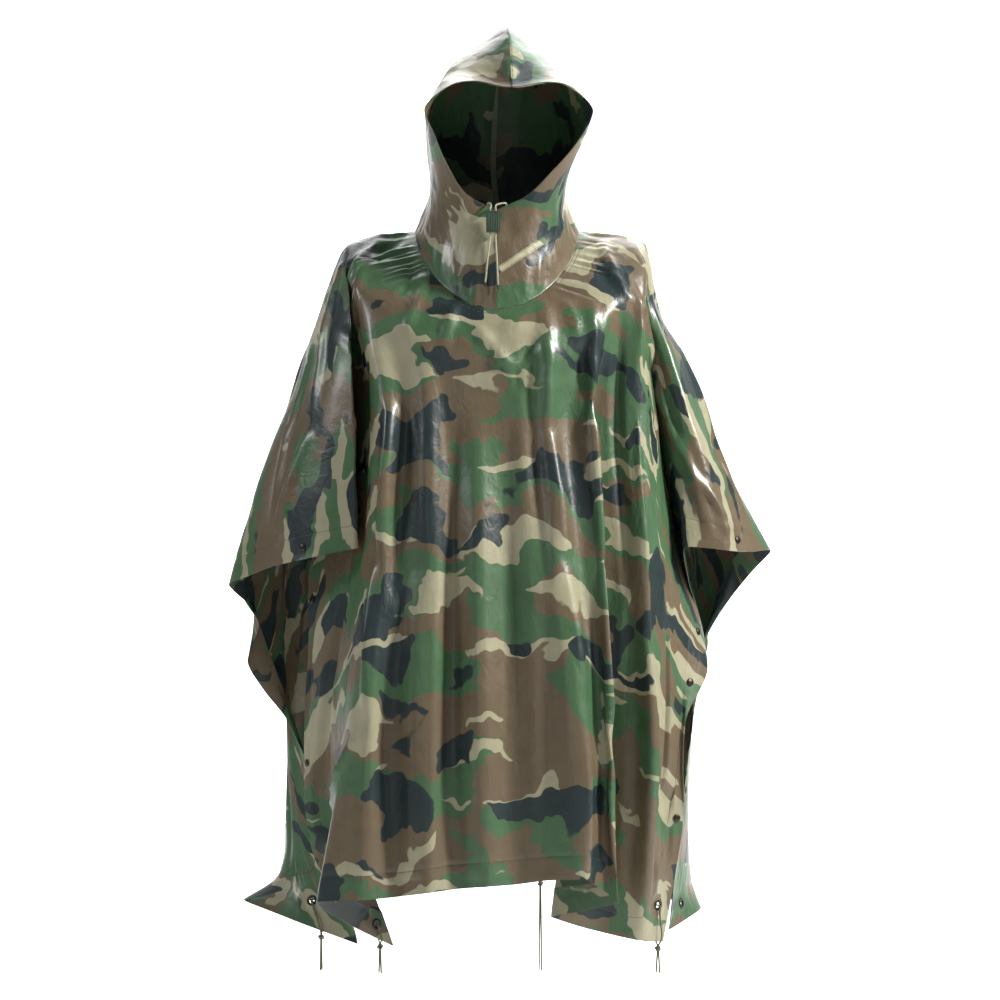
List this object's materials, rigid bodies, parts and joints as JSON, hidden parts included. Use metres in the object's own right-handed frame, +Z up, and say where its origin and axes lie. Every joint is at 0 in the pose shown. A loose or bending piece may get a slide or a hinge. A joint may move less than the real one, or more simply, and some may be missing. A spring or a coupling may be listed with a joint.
{
  "type": "rain poncho",
  "caption": "Hooded rain poncho in woodland camouflage ripstop, hollow and open as worn, with draped half sleeves, open sides, tie cords at its corners and a cord lock at the throat.",
  "frame": {"origin": "middle of the neck opening at shoulder height, where the wearer's neck and shoulders hold the poncho", "axes": "+Z up along the wearer's body, the front faces -Y, +X to the wearer's left"},
  "size_m": [0.8411, 0.5352, 1.5056],
  "materials": {
    "camouflage_ripstop": "coated, semi-gloss",
    "coated_inside": "coated, satin",
    "blackened_brass": "blackened, satin",
    "olive_cord": "braided, matt",
    "green_plastic": "moulded, satin"
  },
  "bodies": {
    "root": {"back_panel": "camouflage_ripstop", "casing_left": "coated_inside", "casing_right": "coated_inside", "cord_lock": "green_plastic", "drawcord_left": "olive_cord", "drawcord_right": "olive_cord", "eyelet_back_left": "blackened_brass", "eyelet_back_middle": "blackened_brass", "eyelet_back_right": "blackened_brass", "eyelet_front_left": "blackened_brass", "eyelet_front_right": "blackened_brass", "front_panel": "camouflage_ripstop", "hood_left": "camouflage_ripstop", "hood_right": "camouflage_ripstop", "hood_seam_tape": "coated_inside", "knot_back_middle": "olive_cord", "knot_back_right": "olive_cord", "knot_front_left": "olive_cord", "knot_front_right": "olive_cord", "stud_back_left_1": "blackened_brass", "stud_back_left_2": "blackened_brass", "stud_back_left_3": "blackened_brass", "stud_back_right_1": "blackened_brass", "stud_back_right_2": "blackened_brass", "stud_back_right_3": "blackened_brass", "stud_front_left_1": "blackened_brass", "stud_front_left_2": "blackened_brass", "stud_front_left_3": "blackened_brass", "stud_front_left_4": "blackened_brass", "stud_front_right_1": "blackened_brass", "stud_front_right_2": "blackened_brass", "stud_front_right_3": "blackened_brass", "stud_front_right_4": "blackened_brass", "tie_back_middle_inner": "olive_cord", "tie_back_middle_outer": "olive_cord", "tie_back_right_inner": "olive_cord", "tie_back_right_outer": "olive_cord", "tie_front_left_inner": "olive_cord", "tie_front_left_outer": "olive_cord", "tie_front_right_inner": "olive_cord", "tie_front_right_outer": "olive_cord"}
  },
  "joints": []
}
